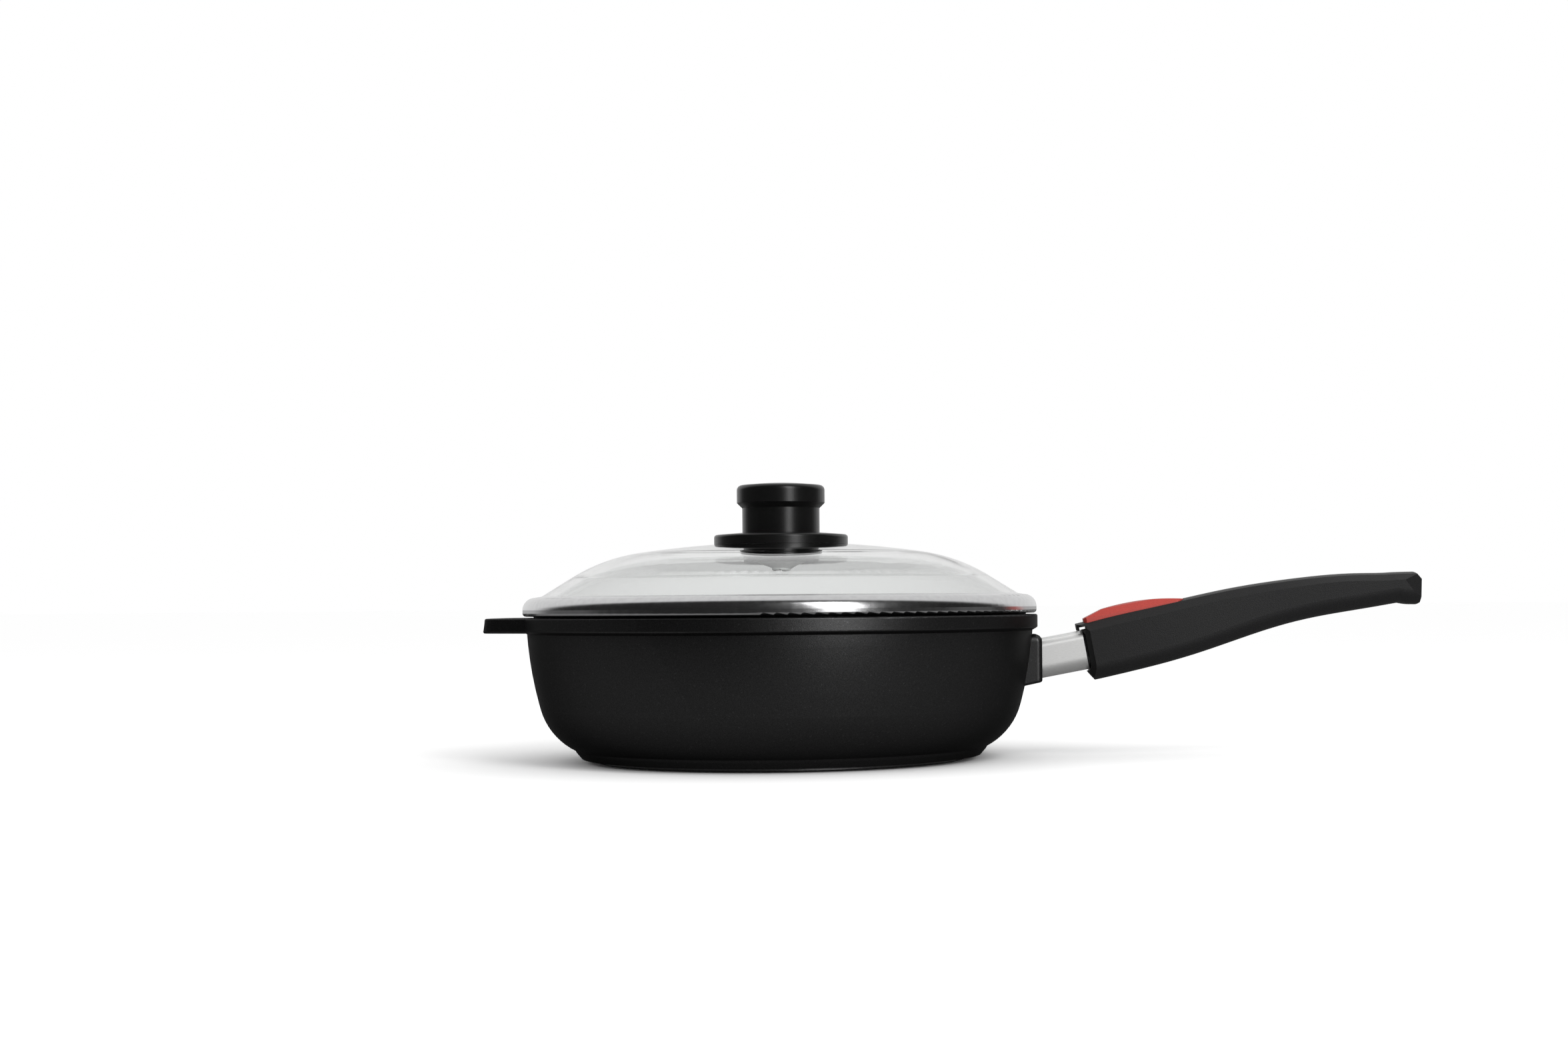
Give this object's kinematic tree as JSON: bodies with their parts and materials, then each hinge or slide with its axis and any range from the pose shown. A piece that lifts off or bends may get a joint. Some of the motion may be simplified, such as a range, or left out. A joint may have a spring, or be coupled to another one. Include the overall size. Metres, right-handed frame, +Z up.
{
  "type": "saute pan with lid",
  "caption": "Deep cast saute pan with a helper ear, a domed glass lid with a knob, and a long handle that pulls off when its red button is pressed.",
  "frame": {"origin": "centre of the pan's resting face on the hob", "axes": "+X from the pan's centre towards the long handle, +Z up through the lid's knob"},
  "size_m": [0.5273, 0.29, 0.1565],
  "materials": {
    "cast_coated": "fine-speckled non-stick coating",
    "base_steel": "satin",
    "sleeve_steel": "brushed",
    "inner_steel": "plain",
    "plug_metal": "as cast",
    "lid_glass": "clear",
    "rim_steel": "polished",
    "seal_black": "soft",
    "knob_black": "gloss",
    "flange_black": "satin",
    "insert_brass": "plain",
    "grip_black": "fine texture",
    "insert_black": "gloss",
    "button_red": "satin"
  },
  "bodies": {
    "pan": {"pan_body": "cast_coated", "base_plate": "base_steel", "handle_sleeve": "sleeve_steel", "sleeve_plug": "plug_metal", "tang_washer": "inner_steel", "tang": "inner_steel"},
    "lid": {"lid_glass": "lid_glass", "lid_rim": "rim_steel", "rim_seal": "seal_black", "knob_base": "flange_black", "knob_gasket": "seal_black", "knob_grip": "knob_black", "knob_insert": "insert_brass", "lower_pad": "seal_black", "cup_washer": "inner_steel", "knob_screw": "inner_steel"},
    "handle": {"grip_shell": "grip_black", "socket_insert": "insert_black", "latch_leaf": "inner_steel", "clamp_nut": "inner_steel", "clamp_screw": "inner_steel", "button_pin": "inner_steel", "button_spring": "inner_steel"},
    "button": {"release_button": "button_red"}
  },
  "joints": [
    {"name": "lid_lift", "type": "slide", "parent": "pan", "child": "lid", "axis": [0, 0, 1], "range_m": [0, 0.12]},
    {"name": "handle_pull", "type": "slide", "parent": "pan", "child": "handle", "axis": [0.9833, 0, 0.1822], "range_m": [0, 0.06]},
    {"name": "button_press", "type": "hinge", "parent": "handle", "child": "button", "pos_m": [0.18187, 0, 0.07524], "axis": [0, 1, 0], "range_deg": [0, 3], "stiffness_Nm_per_rad": 1, "springref_deg": -5.73, "deforming": ["button_spring", "latch_leaf"]}
  ]
}
